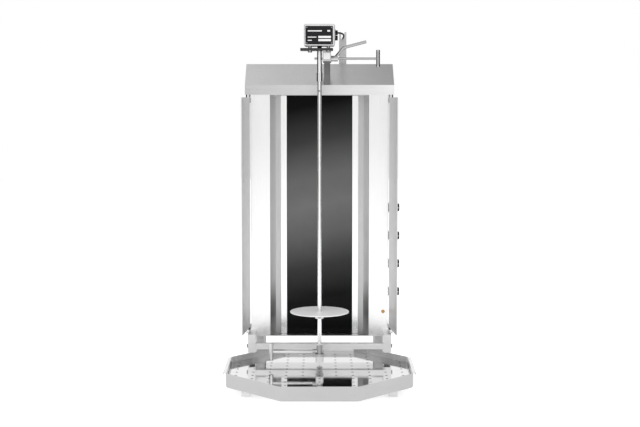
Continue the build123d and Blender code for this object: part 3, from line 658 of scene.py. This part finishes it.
def gland_ribs(materials):
    """Grip ribs round the two cable glands on the motor."""
    ribs = bmesh.new()
    for z in GLAND_HEIGHTS:
        for n in range(RIB_COUNT):
            angle = 2 * math.pi * n / RIB_COUNT
            y = GLAND_Y + RIB_RING * math.cos(angle)
            height = z + RIB_RING * math.sin(angle)
            disc(ribs, 0.0005, 0.0050, (GLAND_X, y, height), ALONG_X, 8)
    piece = object_from_bmesh("gland_ribs", ribs, materials["black"], smooth=True)
    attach(piece, "motor_carriage")


def grip_rings(materials):
    """Shallow steel rings at the ends of the bars of both clamp handles."""
    for name, body, x, y, z, radius in (
        ("upper_grip_ends", "upper_clamp", UPPER_GRIP_X, 0.0, UPPER_ARM_Z, 0.0055),
        ("lower_grip_ends", "lower_clamp", LOWER_GRIP_X, SPIT_Y, LOWER_GRIP_Z, 0.0060),
    ):
        rings = bmesh.new()
        for offset in (-GRIP_REACH, GRIP_REACH):
            disc(rings, radius + 0.0002, 0.0016, (x, y, z + offset), ALONG_Z, 32)
        piece = bevel(object_from_bmesh(name, rings, materials["tube"], smooth=True), 0.0003)
        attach(piece, body)


def roof_grommet(materials):
    """Rubber ring where the lead goes down through the roof."""
    bpy.ops.mesh.primitive_torus_add(
        major_radius=0.0040, minor_radius=0.0012, major_segments=40, minor_segments=14,
        location=(*LEAD_POINTS[-1][:2], GROMMET_Z),
    )
    ring = bpy.context.active_object
    ring.name = "roof_grommet"
    ring.data.materials.append(materials["rubber"])
    for face in ring.data.polygons:
        face.use_smooth = True
    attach(ring, "frame")


def route_curve(name, thickness):
    """NURBS curve through the lead's route."""
    curve = bpy.data.curves.new(name, "CURVE")
    curve.dimensions = "3D"
    curve.resolution_u = 16
    curve.bevel_depth = thickness
    curve.bevel_resolution = 6
    curve.use_fill_caps = True
    spline = curve.splines.new("NURBS")
    spline.points.add(len(LEAD_POINTS) - 1)
    for point, place in zip(spline.points, LEAD_POINTS):
        point.co = (*place, 1.0)
    spline.order_u = 3
    spline.use_endpoint_u = True
    return new_object(name, curve)


def motor_lead(materials):
    """The motor's lead: out of its gland, back over the post's notch and down to the roof."""
    line = route_curve("lead_line", 0.0)
    line_mesh = bpy.data.meshes.new_from_object(line)
    bpy.data.objects.remove(line)
    round_line = route_curve("lead_round", LEAD_DIAMETER / 2)
    tube = bpy.data.meshes.new_from_object(round_line)
    bpy.data.objects.remove(round_line)
    for face in tube.polygons:
        face.use_smooth = True
    tube.materials.clear()
    lead = new_object("motor_lead", tube, materials["rubber"])
    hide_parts("motor_cable")
    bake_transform(lead)


# Floor and light

def make_floor():
    shading = Shading("studio_floor")
    soft = shading.noise(2.0, detail=2.0)
    shading.colour(shading.ramp(soft, [(0.3, grey(0.93)), (0.7, grey(0.95))]))
    shading.set(Roughness=0.9, Specular_IOR_Level=0.0)
    shading.set(Emission_Color=(1, 1, 1, 1), Emission_Strength=FLOOR_GLOW)
    shape = bmesh.new()
    bmesh.ops.create_circle(shape, cap_ends=True, segments=96, radius=FLOOR_RADIUS)
    floor = object_from_bmesh("studio_floor", shape, shading.material)
    floor.location.z = FLOOR_Z


def area_light(name, place, aim, size, power):
    data = bpy.data.lights.new(name, "AREA")
    data.shape = "RECTANGLE"
    data.size, data.size_y = size
    data.energy = power
    light = bpy.data.objects.new(name, data)
    light.location = place
    light.rotation_euler = (Vector(aim) - Vector(place)).to_track_quat("-Z", "Y").to_euler()
    scene.collection.objects.link(light)


def dark_card(name, corners):
    """Black card round the machine that only the steel's reflections see."""
    shape = bmesh.new()
    shape.faces.new([shape.verts.new(corner) for corner in corners])
    shading = Shading(name)
    shading.set(Base_Color=(0.03, 0.03, 0.03, 1.0), Roughness=1.0, Specular_IOR_Level=0.0)
    card = object_from_bmesh(name, shape, shading.material)
    card.visible_camera = False
    card.visible_diffuse = False
    card.visible_shadow = False


def make_cards():
    near, far = SIDE_CARD_Y
    low, high = SIDE_CARD_Z
    for name, x in (("left_card", -CARD_X), ("right_card", CARD_X)):
        dark_card(name, [(x, near, low), (x, far, low), (x, far, high), (x, near, high)])
    near, far = BACK_CARD_Y
    z = BACK_CARD_Z
    dark_card("back_card", [(-CARD_X, near, z), (CARD_X, near, z), (CARD_X, far, z), (-CARD_X, far, z)])


def make_light():
    world = bpy.data.worlds.new("studio")
    scene.world = world
    world.use_nodes = True
    background = world.node_tree.nodes["Background"]
    background.inputs["Color"].default_value = (1.0, 1.0, 1.0, 1.0)
    background.inputs["Strength"].default_value = WORLD_STRENGTH
    area_light("front_softbox", SOFTBOX_PLACE, SOFTBOX_AIM, SOFTBOX_SIZE, SOFTBOX_POWER)
    scene.view_settings.view_transform = "Standard"
    scene.view_settings.look = "None"


def main():
    make_camera()
    materials = make_materials()
    motor_lead(materials)
    dress_nodes(materials)
    label_print(materials)
    knob_dials(materials)
    weld_beads(materials)
    gland_ribs(materials)
    grip_rings(materials)
    roof_grommet(materials)
    make_floor()
    make_cards()
    make_light()


main()
